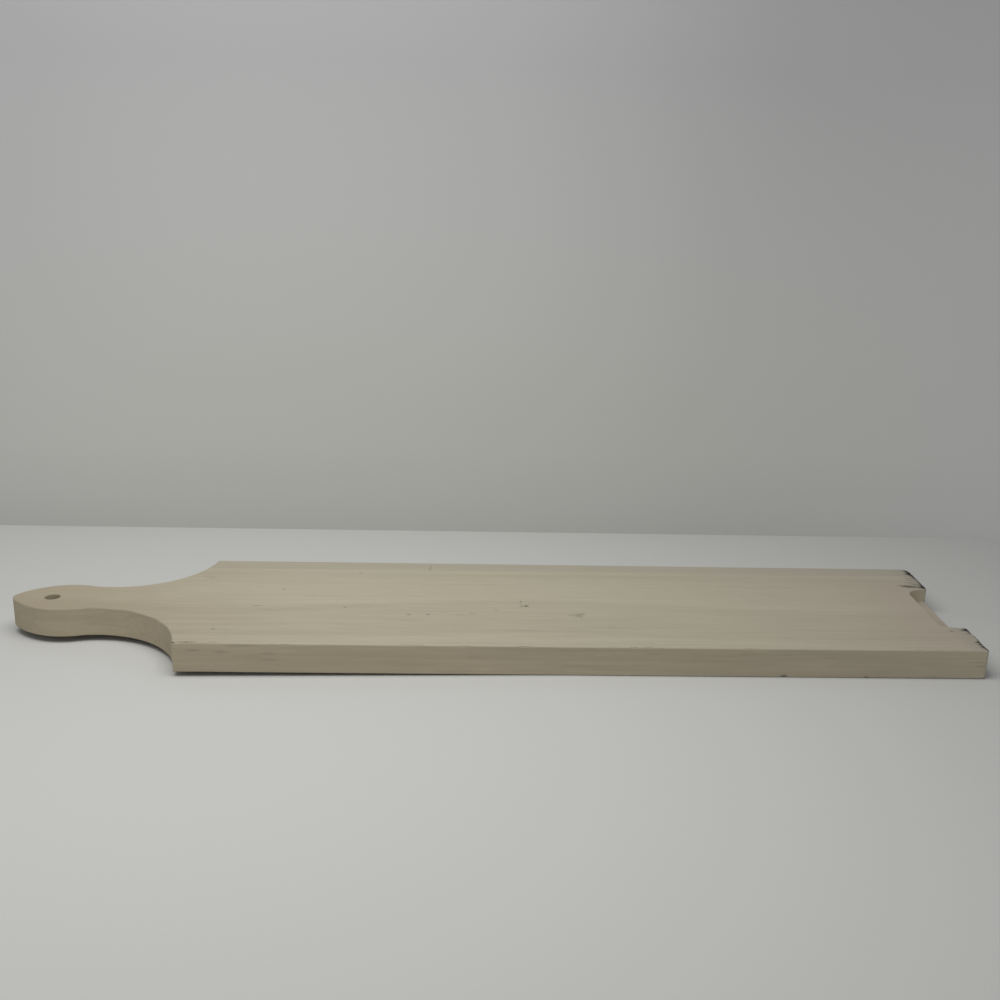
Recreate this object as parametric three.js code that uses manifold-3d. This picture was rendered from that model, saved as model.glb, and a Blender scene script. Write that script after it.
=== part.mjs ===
// A paddle-shaped board for serving a flight of beer glasses: a long plank with a shaped handle at one end
// and a shallow notch cut down into the other. Staves are glued edge to edge into a panel, and the panel is
// then sawn to its outline, drilled for hanging, notched and eased along every edge.
// Millimetres. X runs along the board towards the notched end, Y across it and Z up. The origin is at the
// middle of the underside.
import * as THREE from "three";
import { mergeVertices } from "three/addons/utils/BufferGeometryUtils.js";
import Module from "manifold-3d";

// Plank, from its shoulders to its notched end
const PLANK_LENGTH = 493;
const PLANK_WIDTH = 140;
const THICKNESS = 19;
const NEAR_END_RADIUS = 2;
const FAR_END_RADIUS = 6;
const ARRIS_RADIUS = 0.8;

// Handle, from the shoulders to its tip, with its grip, neck and hanging hole placed from the tip. It is sawn
// by eye, so the near shoulder lies a little closer to the tip than the far one.
const HANDLE_LENGTH = 118;
const NEAR_SHOULDER_LEAD = 1.2;
const GRIP_WIDTH = 42.5;
const GRIP_FROM_TIP = 34;
const GRIP_ROUNDING = 18;
const TIP_ROUNDING = 6;
const NECK_WIDTH = 36;
const NECK_FROM_TIP = 58;
const HANG_HOLE_DIAMETER = 9.5;
const HANG_HOLE_FROM_TIP = 25;

// Notch between the two prongs at the end of the plank, cut down from the top. Its mouth flares, its near
// corner is tight and its far corner round. The tongue of wood left under it ends a little short of the
// prongs, and its edge is rounded over where fingers lift it.
const NEAR_PRONG_WIDTH = 34.5;
const FAR_PRONG_WIDTH = 38;
const PRONG_RADIUS = 1.5;
const NOTCH_LENGTH = 15.6;
const NOTCH_NEAR_FLARE = 3;
const NOTCH_NEAR_RADIUS = 2;
const NOTCH_FAR_FLARE = 3;
const NOTCH_FAR_RADIUS = 11;
const TONGUE_THICKNESS = 10;
const TONGUE_SETBACK = 1.2;
const TONGUE_ROUNDING = 1.2;

// Staves: the handle's own stave holds the whole grip, and the strips finish the two long edges
const GRIP_ALLOWANCE = 1;
const NEAR_STRIP_WIDTH = 20;
const FAR_STRIP_WIDTH = 14;

// Steps along the curves of the outline
const GRIP_STEPS = 20;
const NECK_STEPS = 12;
const SHOULDER_STEPS = 28;
const CORNER_STEPS = 6;
const HOLE_STEPS = 24;
const ARRIS_STEPS = 3;

const WOOD = { roughness: 0.72, metalness: 0 };
const PALE_WOOD = 0xb0a895;
const DARKER_WOOD = 0xa8a08e;

const halfLength = (PLANK_LENGTH + HANDLE_LENGTH) / 2;
const halfWidth = PLANK_WIDTH / 2;
const tipX = -halfLength;
const shoulderX = tipX + HANDLE_LENGTH;
const endX = halfLength;
const notchBackX = endX - NOTCH_LENGTH;
const nearMouthY = -halfWidth + NEAR_PRONG_WIDTH;
const farMouthY = halfWidth - FAR_PRONG_WIDTH;

// One side of the handle from its tip to the shoulder: the rounded grip, the drawn-in neck, and the hollow
// arc that leaves the neck along the board and sweeps out to the plank's corner.
function handleSide(side) {
  const grip = new THREE.Vector2(tipX + GRIP_FROM_TIP, GRIP_WIDTH / 2);
  const neck = new THREE.Vector2(tipX + NECK_FROM_TIP, NECK_WIDTH / 2);
  const bend = (grip.x + neck.x) / 2;
  const shoulder = side < 0 ? shoulderX - NEAR_SHOULDER_LEAD : shoulderX;
  const run = shoulder - neck.x;
  const rise = halfWidth - neck.y;
  const radius = (run ** 2 + rise ** 2) / (2 * rise);
  const shoulderAngle = Math.atan2(rise - radius, run);
  const gripCurve = new THREE.CubicBezierCurve(
    new THREE.Vector2(tipX, 0),
    new THREE.Vector2(tipX, TIP_ROUNDING),
    new THREE.Vector2(grip.x - GRIP_ROUNDING, grip.y),
    grip,
  );
  const neckCurve = new THREE.CubicBezierCurve(
    grip,
    new THREE.Vector2(bend, grip.y),
    new THREE.Vector2(bend, neck.y),
    neck,
  );
  const centreY = neck.y + radius;
  const shoulderCurve = new THREE.ArcCurve(neck.x, centreY, radius, -Math.PI / 2, shoulderAngle, false);
  const points = [
    ...gripCurve.getPoints(GRIP_STEPS),
    ...neckCurve.getPoints(NECK_STEPS).slice(1),
    ...shoulderCurve.getPoints(SHOULDER_STEPS).slice(1),
  ];
  return points.map((point) => new THREE.Vector2(point.x, side * point.y));
}

// A corner rounded to a radius, on the way from the point before it to the point after it.
function roundedCorner(before, corner, after, radius, steps) {
  const back = before.clone().sub(corner).normalize();
  const ahead = after.clone().sub(corner).normalize();
  const halfAngle = back.angleTo(ahead) / 2;
  const turn = (Math.PI - 2 * halfAngle) * Math.sign(ahead.cross(back));
  const inwards = back.clone().add(ahead).normalize();
  const centre = corner.clone().addScaledVector(inwards, radius / Math.sin(halfAngle));
  const start = corner.clone().addScaledVector(back, radius / Math.tan(halfAngle));
  const points = [];
  for (let step = 0; step <= steps; step += 1) {
    points.push(start.clone().rotateAround(centre, (turn * step) / steps));
  }
  return points;
}

// The notched end from the near edge of the plank to the far edge.
function notchedEnd() {
  const corners = [
    { x: endX, y: -halfWidth, radius: NEAR_END_RADIUS },
    { x: endX, y: nearMouthY, radius: PRONG_RADIUS },
    { x: notchBackX, y: nearMouthY + NOTCH_NEAR_FLARE, radius: NOTCH_NEAR_RADIUS },
    { x: notchBackX, y: farMouthY - NOTCH_FAR_FLARE, radius: NOTCH_FAR_RADIUS },
    { x: endX, y: farMouthY, radius: PRONG_RADIUS },
    { x: endX, y: halfWidth, radius: FAR_END_RADIUS },
  ];
  const route = [{ x: shoulderX, y: -halfWidth }, ...corners, { x: shoulderX, y: halfWidth }];
  const points = route.map((place) => new THREE.Vector2(place.x, place.y));
  return corners.flatMap((corner, index) =>
    roundedCorner(points[index], points[index + 1], points[index + 2], corner.radius, CORNER_STEPS),
  );
}

// The tongue under the notch, from its profile in X and Z. It runs on into the plank and both prongs, so that
// nothing but its end and its top shows.
function notchTongue() {
  const overlap = 2 * PRONG_RADIUS;
  const backBottom = new THREE.Vector2(notchBackX - overlap, 0);
  const endBottom = new THREE.Vector2(endX - TONGUE_SETBACK, 0);
  const endTop = new THREE.Vector2(endX - TONGUE_SETBACK, TONGUE_THICKNESS);
  const backTop = new THREE.Vector2(notchBackX - overlap, TONGUE_THICKNESS);
  const profile = new THREE.Shape([
    backBottom,
    ...roundedCorner(backBottom, endBottom, endTop, ARRIS_RADIUS, ARRIS_STEPS),
    ...roundedCorner(endBottom, endTop, backTop, TONGUE_ROUNDING, CORNER_STEPS),
    backTop,
  ]);
  const width = farMouthY - nearMouthY + 2 * overlap;
  const tongue = new THREE.ExtrudeGeometry(profile, { depth: width, bevelEnabled: false });
  return tongue.rotateX(Math.PI / 2).translate(0, farMouthY + overlap, 0);
}

// The whole glued panel after sawing, drilling and easing, lying on the plane Z = 0, with its notch still cut
// right through.
function shapedPanel() {
  const nearSide = handleSide(-1);
  const farSide = handleSide(1).slice(1).reverse();
  const outline = new THREE.Shape([...nearSide, ...notchedEnd(), ...farSide]);
  const hangHole = new THREE.Path();
  hangHole.absarc(tipX + HANG_HOLE_FROM_TIP, 0, HANG_HOLE_DIAMETER / 2, 0, 2 * Math.PI, false);
  outline.holes.push(hangHole);
  const panel = new THREE.ExtrudeGeometry(outline, {
    depth: THICKNESS - 2 * ARRIS_RADIUS,
    bevelThickness: ARRIS_RADIUS,
    bevelSize: ARRIS_RADIUS,
    bevelOffset: -ARRIS_RADIUS,
    bevelSegments: ARRIS_STEPS,
    curveSegments: HOLE_STEPS,
  });
  return panel.translate(0, 0, ARRIS_RADIUS);
}

const wasm = await Module();
wasm.setup();

function solidOf(geometry) {
  const bare = geometry.clone();
  bare.deleteAttribute("normal");
  bare.deleteAttribute("uv");
  const merged = mergeVertices(bare);
  const mesh = new wasm.Mesh({
    numProp: 3,
    vertProperties: merged.attributes.position.array,
    triVerts: new Uint32Array(merged.index.array),
  });
  return new wasm.Manifold(mesh);
}

function geometryOf(solid) {
  const { vertProperties, triVerts } = solid.getMesh();
  const geometry = new THREE.BufferGeometry();
  geometry.setAttribute("position", new THREE.BufferAttribute(vertProperties, 3));
  geometry.setIndex(new THREE.BufferAttribute(triVerts, 1));
  geometry.computeVertexNormals();
  return geometry;
}

// The part of the panel that one stave makes up, between two glue joints. The band that cuts it out is longer
// and thicker than the panel, so that only its two sides cut.
function stave(name, panel, nearY, farY, color) {
  const band = new THREE.BoxGeometry(4 * halfLength, farY - nearY, 2 * THICKNESS);
  band.translate(0, (nearY + farY) / 2, THICKNESS / 2);
  const wood = new THREE.MeshStandardMaterial({ color, ...WOOD });
  const piece = new THREE.Mesh(geometryOf(panel.intersect(solidOf(band))), wood);
  piece.name = name;
  return piece;
}

// Glue joints from the near edge to the far edge. The strips' bands start well outside the plank.
const panel = solidOf(shapedPanel()).add(solidOf(notchTongue()));
const handleJointY = GRIP_WIDTH / 2 + GRIP_ALLOWANCE;
const nearStripJointY = -halfWidth + NEAR_STRIP_WIDTH;
const farStripJointY = halfWidth - FAR_STRIP_WIDTH;
const outsideY = PLANK_WIDTH;

const board = new THREE.Group();
board.add(
  stave("near_edge_strip", panel, -outsideY, nearStripJointY, PALE_WOOD),
  stave("near_side_stave", panel, nearStripJointY, -handleJointY, PALE_WOOD),
  stave("handle_stave", panel, -handleJointY, handleJointY, PALE_WOOD),
  stave("far_side_stave", panel, handleJointY, farStripJointY, PALE_WOOD),
  stave("far_edge_strip", panel, farStripJointY, outsideY, DARKER_WOOD),
);

export default board;
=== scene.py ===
# A paddle-shaped board for serving a flight of beer glasses, dressed around its CAD solids: bare pale wood,
# glued up from five staves, sanded, and worn along its edges and its notched end.
import math
import random

import bmesh
import bpy
from mathutils import Matrix, Vector


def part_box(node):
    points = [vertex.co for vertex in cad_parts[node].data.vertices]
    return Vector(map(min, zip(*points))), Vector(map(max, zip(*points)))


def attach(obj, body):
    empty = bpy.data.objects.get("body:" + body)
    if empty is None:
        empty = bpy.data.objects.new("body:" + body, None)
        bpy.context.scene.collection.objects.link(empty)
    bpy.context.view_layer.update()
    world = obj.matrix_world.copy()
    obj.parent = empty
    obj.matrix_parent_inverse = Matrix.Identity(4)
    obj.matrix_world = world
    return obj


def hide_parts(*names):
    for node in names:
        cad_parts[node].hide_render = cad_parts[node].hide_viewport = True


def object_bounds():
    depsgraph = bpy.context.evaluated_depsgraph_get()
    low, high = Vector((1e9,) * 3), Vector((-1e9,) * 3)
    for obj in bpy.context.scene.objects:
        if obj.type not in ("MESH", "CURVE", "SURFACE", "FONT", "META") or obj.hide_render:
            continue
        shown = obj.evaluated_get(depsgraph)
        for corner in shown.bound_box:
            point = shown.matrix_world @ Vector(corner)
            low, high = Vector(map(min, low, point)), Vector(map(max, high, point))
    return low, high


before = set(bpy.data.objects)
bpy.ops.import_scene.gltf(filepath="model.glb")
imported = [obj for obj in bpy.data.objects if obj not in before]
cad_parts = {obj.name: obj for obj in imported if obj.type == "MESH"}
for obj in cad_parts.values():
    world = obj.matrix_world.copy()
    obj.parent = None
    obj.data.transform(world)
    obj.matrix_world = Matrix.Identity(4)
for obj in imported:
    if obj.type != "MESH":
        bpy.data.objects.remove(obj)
cad_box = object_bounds()


# Handle stave
# The long middle stave of the glued panel, with the grip, the neck, the hanging hole and most of the notch
# sawn, drilled and cut in it. It is bare close-grained wood, sanded by hand, with a few dark specks and a
# small gouge in its top.

MM = 0.001
board_low, board_high = (corner / MM for corner in cad_box)
TOP = board_high.z
FAR_EDGE = board_high.y
NEAR_EDGE = board_low.y
NOTCHED_END = board_high.x


class Wire:
    """A socket in a material's nodes. Python's operators on it add Math nodes."""

    def __init__(self, socket):
        self.socket = socket

    def node(self, kind, settings=None, sockets=None, output=0):
        """Adds a node, with its settings first and then the values or links of its sockets."""
        tree = self.socket.id_data
        made = tree.nodes.new(kind)
        for setting, value in (settings or {}).items():
            if setting == "stops":
                elements = made.color_ramp.elements
                elements.remove(elements[1])
                elements[0].position, elements[0].color = value[0]
                for position, colour in value[1:]:
                    elements.new(position).color = colour
            else:
                setattr(made, setting, value)
        for name, value in (sockets or {}).items():
            if isinstance(value, Wire):
                tree.links.new(value.socket, made.inputs[name])
            else:
                made.inputs[name].default_value = value
        return Wire(made.outputs[output])

    def outputs(self):
        return [Wire(socket) for socket in self.socket.node.outputs]

    def math(self, operation, *others):
        return self.node("ShaderNodeMath", {"operation": operation}, dict(enumerate([self, *others])))

    def vector(self, operation, *others, output="Vector"):
        sockets = dict(enumerate([self, *others]))
        return self.node("ShaderNodeVectorMath", {"operation": operation}, sockets, output)

    def rise(self, low, high):
        """0 below low and 1 above high, with a smooth step between them."""
        sockets = {"Value": self, "From Min": low, "From Max": high}
        return self.node("ShaderNodeMapRange", {"interpolation_type": "SMOOTHSTEP"}, sockets)

    def ramp(self, stops):
        return self.node("ShaderNodeValToRGB", {"stops": stops}, {"Fac": self})

    def mix(self, colour_at_0, colour_at_1):
        factor, colour_a, colour_b, mixed_colour = 0, 6, 7, 2
        sockets = {factor: self, colour_a: colour_at_0, colour_b: colour_at_1}
        return self.node("ShaderNodeMix", {"data_type": "RGBA"}, sockets, mixed_colour)

    def __add__(self, other):
        return self.math("ADD", other)

    def __sub__(self, other):
        return self.math("SUBTRACT", other)

    def __rsub__(self, other):
        return self.node("ShaderNodeMath", {"operation": "SUBTRACT"}, {0: other, 1: self})

    def __mul__(self, other):
        return self.math("MULTIPLY", other)

    def __truediv__(self, other):
        return self.math("DIVIDE", other)

    def __abs__(self):
        return self.math("ABSOLUTE")

    __radd__ = __add__
    __rmul__ = __mul__


def paint(red, green, blue):
    """A colour as it is seen, in steps of 0 to 255, turned into the shader's linear values."""
    shares = [step / 255 for step in (red, green, blue)]
    linear = [((share + 0.055) / 1.055) ** 2.4 for share in shares]
    return (*linear, 1.0)


def grain_noise(place, lengths, seed, detail=2.0):
    """Noise about 0, mostly within -0.3 and 0.3, in blotches of these lengths in mm along X, Y and Z."""
    stretched = place.vector("MULTIPLY_ADD", [1 / length for length in lengths], [seed] * 3)
    return place.node("ShaderNodeTexNoise", {}, {"Vector": stretched, "Scale": 1.0, "Detail": detail}) - 0.5


def growth_tone(place, x, y, z):
    """How much lighter or darker the wood is across its growth bands, which wander along the board."""
    bands = (
        (0, 0.0), (18, 0.02), (23, -0.13), (31, 0.0), (62, 0.01), (70, 0.06), (79, -0.13),
        (100, -0.12), (121, -0.2), (128, -0.08), (136, -0.08), (142, -0.12), (150, -0.05),
    )
    last_band = bands[-1][0]
    slant = 0.35
    wave_length, wave_crest, wave_height = 400, 30, 8
    across = FAR_EDGE - y + slant * (TOP - z)
    wave = ((x - wave_crest) * (2 * math.pi / wave_length)).math("COSINE")
    swing = across.rise(40, 80) * (1 - 0.5 * across.rise(95, 120))
    across = across + wave_height * wave * swing + 5 * grain_noise(place, (140, 26, 26), 3.1)
    across = across + 7 * grain_noise(place, (90, 2.5, 2.5), 6.3)
    middle = 0.5
    stops = [(distance / last_band, (middle + tone,) * 3 + (1.0,)) for distance, tone in bands]
    return (across / last_band).ramp(stops) - middle


def ring_lines(place, y, z, heart):
    """Dark lines, 0 to 1, where the growth rings round a log's heart at this Y and Z reach the surface."""
    spacing = 2.7
    off_y, off_z = y - heart[0], z - heart[1]
    radius = (off_y * off_y + off_z * off_z).math("SQRT")
    radius = radius + 2.4 * grain_noise(place, (170, 22, 22), 1.7)
    radius = radius + 0.5 * grain_noise(place, (45, 6, 6), 2.9)
    ring = radius / spacing
    phase = ring.math("FRACT")
    strength = ring.node("ShaderNodeTexWhiteNoise", {"noise_dimensions": "1D"}, {"W": ring.math("FLOOR")})
    broken = grain_noise(place, (110, 7, 7), 4.2).rise(-0.15, 0.15)
    return phase.rise(0.3, 0.92) * (1 - phase.rise(0.93, 1.0)) * strength * broken


def sanded_wood(name, shade, greyness, seed, heart, marks, joints, weathering=None):
    """Bare sanded wood with its grain along X. Shade makes a whole stave lighter or darker, and greyness
    dulls it. The heart is where the rings on its end grain centre. Marks are the centres and half lengths,
    in mm, of dark specks and of painted shade in hollows and under edges, with their strength, and joints
    are the Y of glue lines."""
    light_top, dark_top = paint(190, 183, 162), paint(147, 139, 119)
    # The side faces take their own paler, yellower copy of the wood colours; the paleness is painted light
    # that lifts the shaded sides.
    light_side, dark_side = paint(199, 188, 163), paint(153, 140, 116)
    handled_wood, grey_wood = paint(150, 137, 116), paint(167, 161, 151)
    rosy_wood, speck_and_shade_brown = paint(172, 146, 137), paint(70, 61, 48)
    plain_tone = 0.66
    face_heart = (95, -60)
    material = bpy.data.materials.new(name)
    material.use_nodes = True
    shader = material.node_tree.nodes["Principled BSDF"]
    start = Wire(shader.inputs["Base Color"])
    metres = start.node("ShaderNodeTexCoord", output="Object")
    place = metres.vector("MULTIPLY", [1 / MM] * 3)
    x, y, z = place.node("ShaderNodeSeparateXYZ", sockets={0: place}).outputs()
    facing = start.node("ShaderNodeTexCoord", output="Normal")
    ends, sides, up = facing.node("ShaderNodeSeparateXYZ", sockets={0: facing}).outputs()

    fibres = grain_noise(place, (95, 1.0, 1.0), seed, 3.0)
    hairs = grain_noise(place, (24, 0.35, 0.35), seed + 2)
    streaks = grain_noise(place, (75, 3.2, 3.2), seed + 4)
    flecks = grain_noise(place, (18, 1.5, 1.5), seed + 6)
    blotches = grain_noise(place, (120, 30, 30), 8.1)
    mottling = grain_noise(place, (70, 30, 5), 9.4)
    wear = grain_noise(place, (14, 9, 9), seed + 11)
    end_grain = abs(ends).rise(0.6, 0.95)
    arris = 4 * up * up * (1 - up * up)
    walls = 1 - abs(up).rise(0.3, 0.8)
    near_half = (FAR_EDGE - y).rise(55, 85)
    rings = ring_lines(place, y, z, face_heart) * (1 - 0.7 * walls)
    end_rings = ring_lines(place, y, z, heart)
    streaky = 0.14 + (0.3 - 0.06 * x.rise(-150, 0)) * near_half
    flecked = 0.14 + walls * (0.1 * x.rise(-120, 40) - 0.07)
    fleck_tone = flecks.rise(0.1, 0.25) - (-1 * flecks).rise(0.1, 0.25)
    mottled = 0.32 + 0.12 * x.rise(-60, 60)
    # Painted light: the side faces are made paler towards the notched end, most on the shaded walls in and
    # around the notch.
    painted_light_towards_end = 0.12 * x.rise(60, 300) + 0.16 * x.rise(270, 300)
    end_darkness = 0.02 + 0.3 * end_rings
    # Eased edges are painted paler all along as a highlight, and paler still in worn patches.
    worn_paleness_and_highlight = 0.05 + 0.4 * wear
    joint_darkness = 0.05 * (1 - walls + end_grain)

    tone = plain_tone + shade + growth_tone(place, x, y, z)
    tone = tone + streaky * streaks + 0.26 * fibres + 0.2 * hairs - 0.14 * rings + 0.1 * blotches
    tone = tone + flecked * fleck_tone + walls * (mottled * mottling + painted_light_towards_end)
    tone = tone - end_grain * end_darkness + arris * worn_paleness_and_highlight
    for joint in joints:
        glue_line = 1 - abs(y - joint).rise(0.05, 0.3)
        tone = tone - joint_darkness * glue_line
    colour = walls.mix(tone.mix(dark_top, light_top), tone.mix(dark_side, light_side))
    wander = 60 * grain_noise(place, (30, 16, 16), seed + 13) - 38 * near_half
    handled = (1 - (x + wander).rise(-340, -110)) * (0.65 - 0.55 * walls)
    greying = greyness + 0.25 * x.rise(-80, 300)
    rosiness = 0.2 * x.rise(230, 300) * (1 - walls) * (FAR_EDGE - y).rise(15, 40)
    for share, wood in ((handled, handled_wood), (greying, grey_wood), (rosiness, rosy_wood)):
        colour = share.mix(colour, wood)

    tears_per_mm, tear_reach = [0.6, 0.9, 0.9], [1.6, 1.2, 1.2]
    torn = place.vector("MULTIPLY", tears_per_mm)
    torn = place.node("ShaderNodeTexNoise", {}, {"Vector": torn, "Scale": 1.0}, "Color")
    ragged = torn.vector("SUBTRACT", [0.5] * 3).vector("MULTIPLY_ADD", tear_reach, place)
    # Marks darken the wood towards brown. Most are real specks and stains; some are painted shade, in the
    # hanging hole, along the notch's back edge, on the sunk tongue and under a dented edge.
    stain_and_painted_shade = 0.0 * fibres
    for centre, half_lengths, strength in marks:
        reach = ragged.vector("SUBTRACT", centre).vector("DIVIDE", half_lengths)
        reach = reach.vector("LENGTH", output="Value")
        stain_and_painted_shade = (strength * (1 - reach.rise(0.2, 1.0))).math("MAXIMUM", stain_and_painted_shade)
    colour = stain_and_painted_shade.mix(colour, speck_and_shade_brown)
    roughness = 0.72 + 0.2 * fibres + 0.1 * rings
    height = 0.06 * fibres + 0.04 * hairs - 0.03 * rings - 0.15 * stain_and_painted_shade
    if weathering:
        colour, height = weathering(place, x, y, ends, sides, colour, height)
    bump = height.node("ShaderNodeBump", {}, {"Strength": 0.6, "Distance": MM, "Height": height})
    for socket, wire in (("Base Color", colour), ("Roughness", roughness), ("Normal", bump)):
        material.node_tree.links.new(wire.socket, shader.inputs[socket])
    shader.inputs["Specular IOR Level"].default_value = 0.3
    return material


def sanded_stave(node, material, dent_count, nicks, seed):
    """A stave's piece: its CAD solid with whole flat faces, small dents along the eased edges, larger nicks
    given by their centres and half lengths in mm, and soft shading over its curves."""
    arris_height, margin, level_margin = 0.8, 0.05, 0.01
    merge_distance = 0.002 * MM
    flat_angle, sharp_angle = math.radians(0.5), math.radians(40)
    dent_length, dent_depth = (1.0, 5.0), (0.2, 0.4)
    draw = random.Random(seed)
    shape = bmesh.new()
    shape.from_mesh(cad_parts[node].data)
    bmesh.ops.remove_doubles(shape, verts=shape.verts, dist=merge_distance)
    bmesh.ops.dissolve_limit(shape, angle_limit=flat_angle, verts=shape.verts, edges=shape.edges)
    eased = []
    for edge in shape.edges:
        one, other = (vertex.co / MM for vertex in edge.verts)
        level = abs(one.z - other.z) < level_margin
        on_arris = margin < min(one.z, TOP - one.z) < arris_height - margin
        if level and on_arris:
            eased.append((one, other))
    eased.sort(key=lambda ends: (*ends[0], *ends[1]))
    lengths = [(other - one).length for one, other in eased]
    bites = bmesh.new()
    for one, other in draw.choices(eased, lengths, k=dent_count):
        centre = one.lerp(other, draw.random())
        along = Vector((1, 0, 0)).rotation_difference(other - one).to_matrix().to_4x4()
        half_lengths = Vector([draw.uniform(*limits) for limits in (dent_length, dent_depth, dent_depth)])
        spot = Matrix.Translation(centre * MM) @ along @ Matrix.Diagonal((*half_lengths * MM, 1))
        bmesh.ops.create_icosphere(bites, subdivisions=2, radius=1, matrix=spot)
    for centre, half_lengths in nicks:
        spot = Matrix.Translation(Vector(centre) * MM) @ Matrix.Diagonal((*Vector(half_lengths) * MM, 1))
        bmesh.ops.create_icosphere(bites, subdivisions=2, radius=1, matrix=spot)
    solid_mesh = bpy.data.meshes.new("solid_" + node)
    bites_mesh = bpy.data.meshes.new("bites_" + node)
    for made, mesh in ((shape, solid_mesh), (bites, bites_mesh)):
        made.to_mesh(mesh)
        made.free()
    piece = bpy.data.objects.new("sanded_" + node, solid_mesh)
    cutter = bpy.data.objects.new("bites_" + node, bites_mesh)
    for made in (piece, cutter):
        bpy.context.scene.collection.objects.link(made)
    cut = piece.modifiers.new("dents", "BOOLEAN")
    cut.operation, cut.solver, cut.use_self, cut.object = "DIFFERENCE", "EXACT", True, cutter
    dented = bpy.data.meshes.new_from_object(piece.evaluated_get(bpy.context.evaluated_depsgraph_get()))
    piece.modifiers.clear()
    piece.data = dented
    bpy.data.objects.remove(cutter)
    for mesh in (solid_mesh, bites_mesh):
        bpy.data.meshes.remove(mesh)
    dented.name = piece.name
    dented.materials.clear()
    dented.materials.append(material)
    shape = bmesh.new()
    shape.from_mesh(dented)
    for face in shape.faces:
        face.smooth = True
    for edge in shape.edges:
        edge.smooth = edge.calc_face_angle(0) < sharp_angle
    shape.to_mesh(dented)
    shape.free()
    piece.modifiers.new("soft_curves", "WEIGHTED_NORMAL").keep_sharp = True
    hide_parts(node)
    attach(piece, "root")


def joints_of(node):
    """The Y, in mm, of the two sides of a stave, less those that are the board's own edges."""
    low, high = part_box(node)
    return [side / MM for side in (low.y, high.y) if min(FAR_EDGE - side / MM, side / MM - NEAR_EDGE) > 1]


specks_on_joint = (
    ((54.5, -21.8, TOP), (4, 2.6, 2), 0.2),
    ((58.5, -21.6, TOP), (4.5, 4.6, 2), 0.3),
    ((61, -19.8, TOP), (2.8, 2.0, 2), 0.38),
    ((60, -25, TOP), (1.6, 2.6, 2), 0.2),
    ((-9.7, -20.9, TOP), (3.5, 1.2, 2), 0.22),
    ((-17.5, -23.3, TOP), (4.5, 1.1, 2), 0.22),
    ((-37.8, -22.8, TOP), (2.0, 1.4, 2), 0.5),
    ((-50, -23.6, TOP), (2.2, 1.3, 2), 0.42),
)
handle_specks = (
    ((25.6, -7.2, TOP), (2.2, 1.5, 2), 1.0),
    ((22.6, -8, TOP), (1.6, 1.2, 2), 0.55),
    ((22.2, -3.8, TOP), (0.9, 1.3, 2), 0.45),
    ((22.5, 0.3, TOP), (1.1, 1.6, 2), 0.6),
    ((5.9, -14.4, TOP), (2.6, 1.2, 2), 0.28),
    ((-91.3, -12.8, TOP), (1.6, 1.4, 2), 0.45),
    ((-147.8, -11.6, TOP), (5, 1.0, 2), 0.36),
    ((-134.5, 17, TOP), (1.6, 1.4, 2), 0.36),
)
# Painted shade: the inside of the hanging hole and a thin line along the top edge of the notch's back are
# darkened where shade falls.
hole_and_notch_painted_shade = (
    ((-280.5, 0, TOP - 3), (6.2, 6.2, 5), 0.8),
    ((290, 6, TOP), (1.2, 10, 2), 0.35),
)
# Painted shade: the tongue, sunk below the top between the prongs, is darkened a little for the shade in
# its recess.
painted_tongue_shade = (((299, -12, 10), (9, 34, 2), 0.08),)
handle_marks = handle_specks + specks_on_joint + hole_and_notch_painted_shade + painted_tongue_shade
handle_nicks = (((25.4, -7.2, TOP), (1.8, 0.7, 0.35)),)
handle_wood = sanded_wood(
    "handle_stave_wood", shade=0.0, greyness=0.0, seed=1.0, heart=(6, -40), marks=handle_marks,
    joints=joints_of("handle_stave"),
)
sanded_stave("handle_stave", handle_wood, dent_count=40, nicks=handle_nicks, seed=11)


# Side staves
# The two staves glued to the sides of the handle stave, of the same pale wood. Each carries part of a
# shoulder, an end of the notch and part of one prong, where the bare end grain has taken up dirt and gone
# grey and dark in streaks.


def prong_weathering(place, x, y, ends, sides, colour, height):
    """Dark streaks and greyed wood that reach in from the ends of the prongs. Reaches are places across the
    board in mm, with how far in the streaks reach there and how dark they are."""
    dirt, greyed = paint(45, 40, 33), paint(152, 148, 137)
    reaches = (
        (-70, 2, 0.8), (-66, 5, 0.95), (-56, 6, 0.95), (-52, 2, 0.5), (-46, 2, 0.6), (-41, 6, 1.0),
        (-35, 7, 1.0), (-33, 0, 0), (30.5, 0, 0), (32, 7, 1.0), (36, 9, 1.0), (40, 5, 0.8), (47, 4, 0.75),
        (53, 6, 0.9), (57, 9, 1.0), (66, 9, 1.0), (70, 4, 0.9),
    )
    width = FAR_EDGE - NEAR_EDGE
    longest = 25
    stops = [
        ((across - NEAR_EDGE) / width, (reach / longest, depth, 0, 1)) for across, reach, depth in reaches
    ]
    by_place = ((y - NEAR_EDGE) / width).ramp(stops)
    reach, depth = by_place.node("ShaderNodeSeparateColor", sockets={0: by_place}).outputs()[:2]
    streaks = 0.35 + 0.65 * grain_noise(place, (30, 1.3, 1.3), 4.4, 3.0).rise(-0.2, 0.25)
    from_end = NOTCHED_END - x
    bare_side = 1 - abs(sides).rise(0.3, 0.9)
    bare_end = 1 - 0.8 * abs(ends).rise(0.75, 1.0)
    streak_length = longest * reach * streaks + 0.2
    dark = depth * (1 - (from_end / streak_length).rise(0.3, 1.0)) * bare_side * bare_end
    ragged_end = from_end + 20 * grain_noise(place, (40, 3, 3), 8.8)
    grey = 0.5 * (1 - ragged_end.rise(3, 15)) * bare_side * depth.rise(0.0, 0.4)
    return dark.mix(grey.mix(colour, greyed), dirt), height - 0.12 * dark


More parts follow.
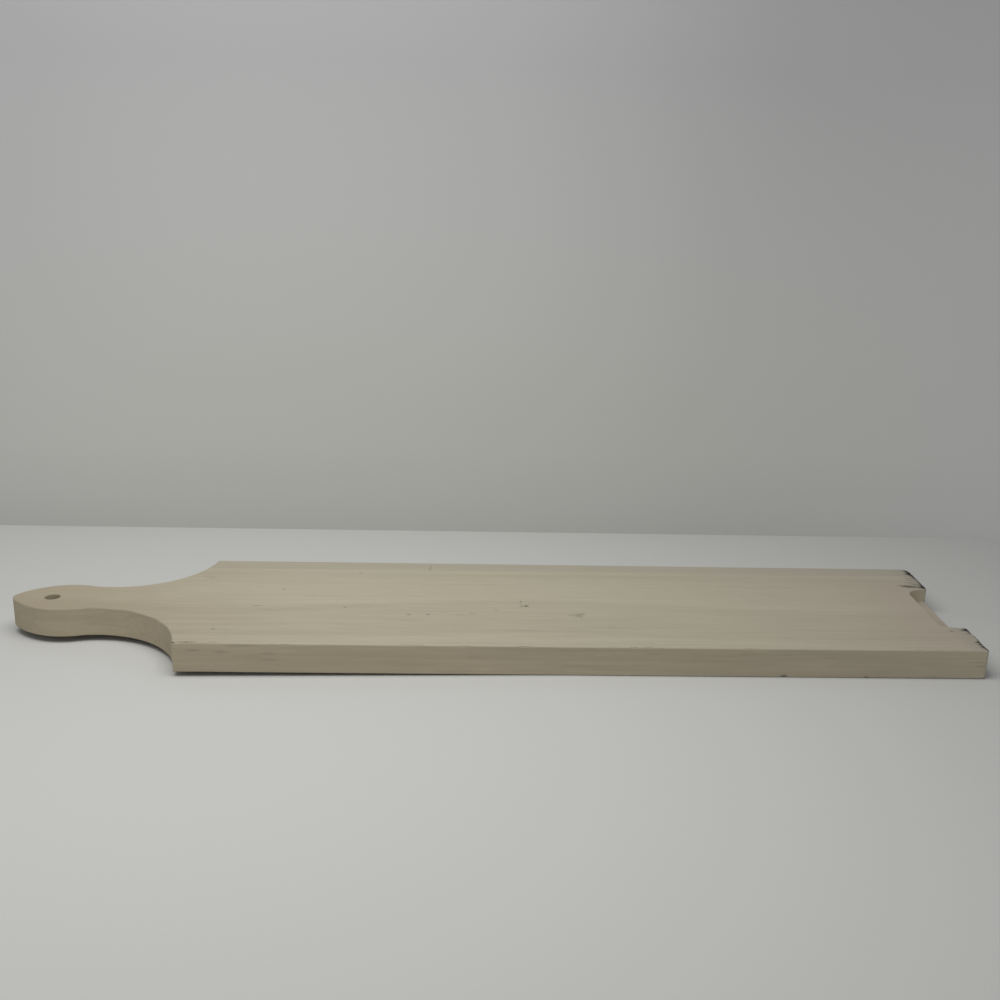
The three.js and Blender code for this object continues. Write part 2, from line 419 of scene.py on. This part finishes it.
near_side_specks = (
    ((-168, -48.9, TOP), (1.6, 1.4, 2), 0.48),
    ((NOTCHED_END - 12, -40.5, TOP), (1.8, 1.4, 2), 0.6),
    ((302.5, -39.2, TOP), (4.5, 2.4, 2), 0.95),
    ((303, -44.5, TOP), (3, 1.6, 2), 0.5),
)
near_side_nicks = (
    ((NOTCHED_END + 0.6, -42, TOP + 0.6), (1.7, 9, 1.7)),
    ((NOTCHED_END, -37, TOP), (1.2, 2.0, 0.7)),
    ((NOTCHED_END, -42, TOP), (0.9, 1.6, 0.6)),
)
near_side_marks = near_side_specks + specks_on_joint + painted_tongue_shade
near_side_wood = sanded_wood(
    "near_side_stave_wood", shade=0.0, greyness=0.0, seed=2.3, heart=(-31, 52), marks=near_side_marks,
    joints=joints_of("near_side_stave"), weathering=prong_weathering,
)
sanded_stave("near_side_stave", near_side_wood, dent_count=14, nicks=near_side_nicks, seed=12)

far_side_specks = (
    ((-86, 48.7, TOP), (1.6, 1.4, 2), 0.42),
    ((-185.5, 36.5, TOP), (5, 2.2, 2), 0.16),
    ((-189, 39.5, TOP), (6, 1.2, 2), 0.14),
    ((302, 34.6, TOP), (6, 2.8, 3), 1.0),
    ((297, 35.2, TOP), (11, 2.6, 2), 1.0),
    ((293, 37.2, TOP), (9, 1.9, 2), 0.75),
    ((301.5, 40, TOP), (6, 1.2, 2), 0.75),
    ((300, 43, TOP), (8, 1.1, 2), 0.6),
    ((300.5, 47.8, TOP), (6, 1.1, 2), 0.55),
    ((301, 52, TOP), (6, 1.2, 2), 0.6),
)
far_side_nicks = (
    ((NOTCHED_END, 34, TOP), (1.6, 1.8, 0.8)),
    ((NOTCHED_END, 39, TOP), (1.1, 1.5, 0.6)),
    ((NOTCHED_END, 47, TOP), (0.8, 2.0, 0.5)),
)
far_side_wood = sanded_wood(
    "far_side_stave_wood", shade=0.0, greyness=0.0, seed=3.7, heart=(42, -38), marks=far_side_specks,
    joints=joints_of("far_side_stave"), weathering=prong_weathering,
)
sanded_stave("far_side_stave", far_side_wood, dent_count=14, nicks=far_side_nicks, seed=13)


# Edge strips
# The narrow strips glued along the two long edges of the panel. The far one is a shade darker, and the near
# one has knocks along both its edges, two checks in its end and a corner worn round where it is set down.

near_strip_marks = (
    ((303, -57.5, TOP), (3, 1.8, 2), 0.75),
    ((303.8, -64, TOP), (3, 2.4, 2), 0.75),
    ((-188, NEAR_EDGE + 0.8, TOP), (2.0, 1.6, 1.2), 0.95),
    ((-180.5, NEAR_EDGE + 1.3, TOP), (9, 0.9, 0.9), 0.85),
    ((-165, NEAR_EDGE + 1.3, TOP), (5, 0.7, 0.8), 0.4),
    ((-175.8, NEAR_EDGE, 14.3), (7, 2, 0.65), 0.26),
    ((-159.8, NEAR_EDGE, 13.3), (6.5, 2, 1.3), 0.16),
    # Painted shadow: a soft dark band on the front face just under the top edge, where a dent in the edge
    # above shades it.
    ((-149, NEAR_EDGE, 17.4), (13, 2, 1.0), 0.16),
    ((-131.8, NEAR_EDGE, 12.7), (8, 2, 1.5), 0.1),
    ((-132, NEAR_EDGE, 8.4), (9, 2, 0.8), 0.14),
    ((180, NEAR_EDGE, 0.5), (3.2, 2, 2.0), 0.6),
    ((231, NEAR_EDGE, 0.5), (2.0, 2, 1.4), 0.5),
)
near_strip_nicks = (
    ((NOTCHED_END + 0.6, -61, TOP + 0.6), (1.8, 12, 1.8)),
    ((-188, NEAR_EDGE + 0.6, TOP), (1.2, 0.8, 0.9)),
    ((-180, NEAR_EDGE + 1.2, TOP), (7, 0.3, 0.3)),
    ((-165, NEAR_EDGE + 1.3, TOP), (4, 0.3, 0.3)),
    ((180, NEAR_EDGE, 0), (2.4, 0.9, 1.5)),
    ((231, NEAR_EDGE, 0), (1.4, 0.7, 1.0)),
    ((-185, NEAR_EDGE, TOP), (1.6, 0.7, 0.8)),
    ((-172, NEAR_EDGE, TOP), (2.2, 0.6, 0.7)),
    ((-159, NEAR_EDGE, TOP), (1.4, 0.7, 0.7)),
    ((300, NEAR_EDGE, 11), (8, 0.5, 0.12)),
    ((NOTCHED_END, -68, 11), (0.5, 9, 0.12)),
    ((302, NEAR_EDGE, 8.6), (5, 0.4, 0.1)),
    ((NOTCHED_END, NEAR_EDGE, 0), (2.4, 2.4, 1.8)),
)
near_strip_wood = sanded_wood(
    "near_edge_strip_wood", shade=0.0, greyness=0.0, seed=5.2, heart=(-66, 48), marks=near_strip_marks,
    joints=joints_of("near_edge_strip"), weathering=prong_weathering,
)
sanded_stave(
    "near_edge_strip", near_strip_wood, dent_count=46, nicks=near_strip_nicks, seed=14
)

far_strip_specks = (
    ((-38.2, 58.4, TOP), (1.4, 2.0, 2), 0.4),
    ((-37.9, 63.5, TOP), (0.9, 4.0, 2), 0.25),
    ((304, 61, TOP), (3.2, 8, 2), 0.95),
)
far_strip_nicks = (
    ((NOTCHED_END, 61, TOP), (0.9, 2.0, 0.7)),
    ((NOTCHED_END, 66, TOP), (1.3, 1.6, 0.8)),
)
far_strip_wood = sanded_wood(
    "far_edge_strip_wood", shade=-0.13, greyness=0.25, seed=6.9, heart=(64, -30), marks=far_strip_specks,
    joints=joints_of("far_edge_strip"), weathering=prong_weathering,
)
sanded_stave("far_edge_strip", far_strip_wood, dent_count=40, nicks=far_strip_nicks, seed=15)


# Floor sheet and back wall
# A pale sheet that the board lies on, which dips a little under the handle end, and a wall behind it.
# The wall's colour carries painted light: brightest a little above its foot, darker higher up, and paler
# towards the right. The wall can be seen only from the front, so that the board shows from behind as well.

WALL_Y = 196
WALL_HALF_WIDTH, WALL_HALF_HEIGHT, WALL_MIDDLE = 3, 0.75, 0.7
SHEET_HALF_SIZE, SHEET_STEPS = 3, 240
DIP_START, DIP_END, DIP_SLOPE = 39, -350, 0.0137
LEVEL_START, LEVEL_END = 90, 186
sheet = bmesh.new()
bmesh.ops.create_grid(sheet, x_segments=SHEET_STEPS, y_segments=SHEET_STEPS, size=SHEET_HALF_SIZE)
for vertex in sheet.verts:
    along, across = vertex.co.x / MM, vertex.co.y / MM
    towards_wall = min(max((across - LEVEL_START) / (LEVEL_END - LEVEL_START), 0), 1)
    dip = DIP_SLOPE * max(0, DIP_START - max(along, DIP_END)) * (1 - towards_wall)
    vertex.co.z = -dip * MM
wall = bmesh.new()
upright = Matrix.Rotation(math.pi / 2, 4, "X") @ Matrix.Diagonal((WALL_HALF_WIDTH, WALL_HALF_HEIGHT, 1, 1))
upright = Matrix.Translation((0, WALL_Y * MM, WALL_MIDDLE)) @ upright
bmesh.ops.create_grid(wall, x_segments=1, y_segments=1, size=1, matrix=upright)
backdrop_colours = {"floor_sheet": paint(196, 196, 193), "back_wall": paint(190, 190, 188)}
# Painted light: the wall's brightness at heights in metres, standing in for how the light falls on it.
painted_wall_light = (
    (0.0, paint(195, 195, 191)), (0.03, paint(200, 200, 196)), (0.07, paint(203, 203, 199)),
    (0.15, paint(198, 198, 195)), (0.23, paint(191, 191, 190)), (0.36, paint(176, 176, 177)),
)
for name, shape in (("floor_sheet", sheet), ("back_wall", wall)):
    mesh = bpy.data.meshes.new(name)
    shape.to_mesh(mesh)
    shape.free()
    mesh.shade_smooth()
    backdrop = bpy.data.objects.new(name, mesh)
    bpy.context.scene.collection.objects.link(backdrop)
    paper = bpy.data.materials.new(name)
    paper.use_nodes = True
    matt = paper.node_tree.nodes["Principled BSDF"]
    matt.inputs["Base Color"].default_value = backdrop_colours[name]
    matt.inputs["Roughness"].default_value = 0.95
    matt.inputs["Specular IOR Level"].default_value = 0.1
    mesh.materials.append(paper)
    if name == "back_wall":
        front = Wire(matt.outputs["BSDF"])
        wall_place = front.node("ShaderNodeTexCoord", output="Object")
        along, _, height = wall_place.node("ShaderNodeSeparateXYZ", sockets={0: wall_place}).outputs()
        # Painted light on the wall: its shade by height, lightened towards the right.
        shade = (0.75 * along.rise(0.15, 0.6)).mix(height.ramp(painted_wall_light), paint(236, 236, 235))
        paper.node_tree.links.new(shade.socket, matt.inputs["Base Color"])
        backface = front.node("ShaderNodeNewGeometry", output="Backfacing")
        clear = front.node("ShaderNodeBsdfTransparent")
        one_sided = front.node("ShaderNodeMixShader", {}, {0: backface, 1: front, 2: clear})
        surface = paper.node_tree.nodes["Material Output"].inputs["Surface"]
        paper.node_tree.links.new(one_sided.socket, surface)


# Light and camera
# One soft panel overhead, a little towards the handle, with an even pale surround, and a camera at hand
# height in front of the board, tipped down and slightly to one side.

panel_light = bpy.data.lights.new("overhead_panel", "AREA")
panel_light.shape, panel_light.size, panel_light.size_y = "RECTANGLE", 0.7, 0.4
panel_light.energy = 3.3
panel_light.color = (1.0, 0.995, 0.98)
panel = bpy.data.objects.new("overhead_panel", panel_light)
panel.location = (-0.17, -0.17, 0.61)
panel.visible_camera = False
surround = bpy.data.worlds.new("pale_surround")
surround.use_nodes = True
sky = surround.node_tree.nodes["Background"]
sky.inputs["Color"].default_value = paint(250, 252, 255)
sky.inputs["Strength"].default_value = 0.33
bpy.context.scene.world = surround

view = bpy.data.cameras.new("studio_camera")
view.sensor_width, view.lens = 36, 42.5
camera = bpy.data.objects.new("studio_camera", view)
camera.location = Vector((-23.8, -718.1, 313.8)) * MM
camera.rotation_euler = [math.radians(angle) for angle in (72.61, -1.523, -1.972)]
for made in (panel, camera):
    bpy.context.scene.collection.objects.link(made)
bpy.context.scene.camera = camera
bpy.context.scene.view_settings.view_transform = "Standard"
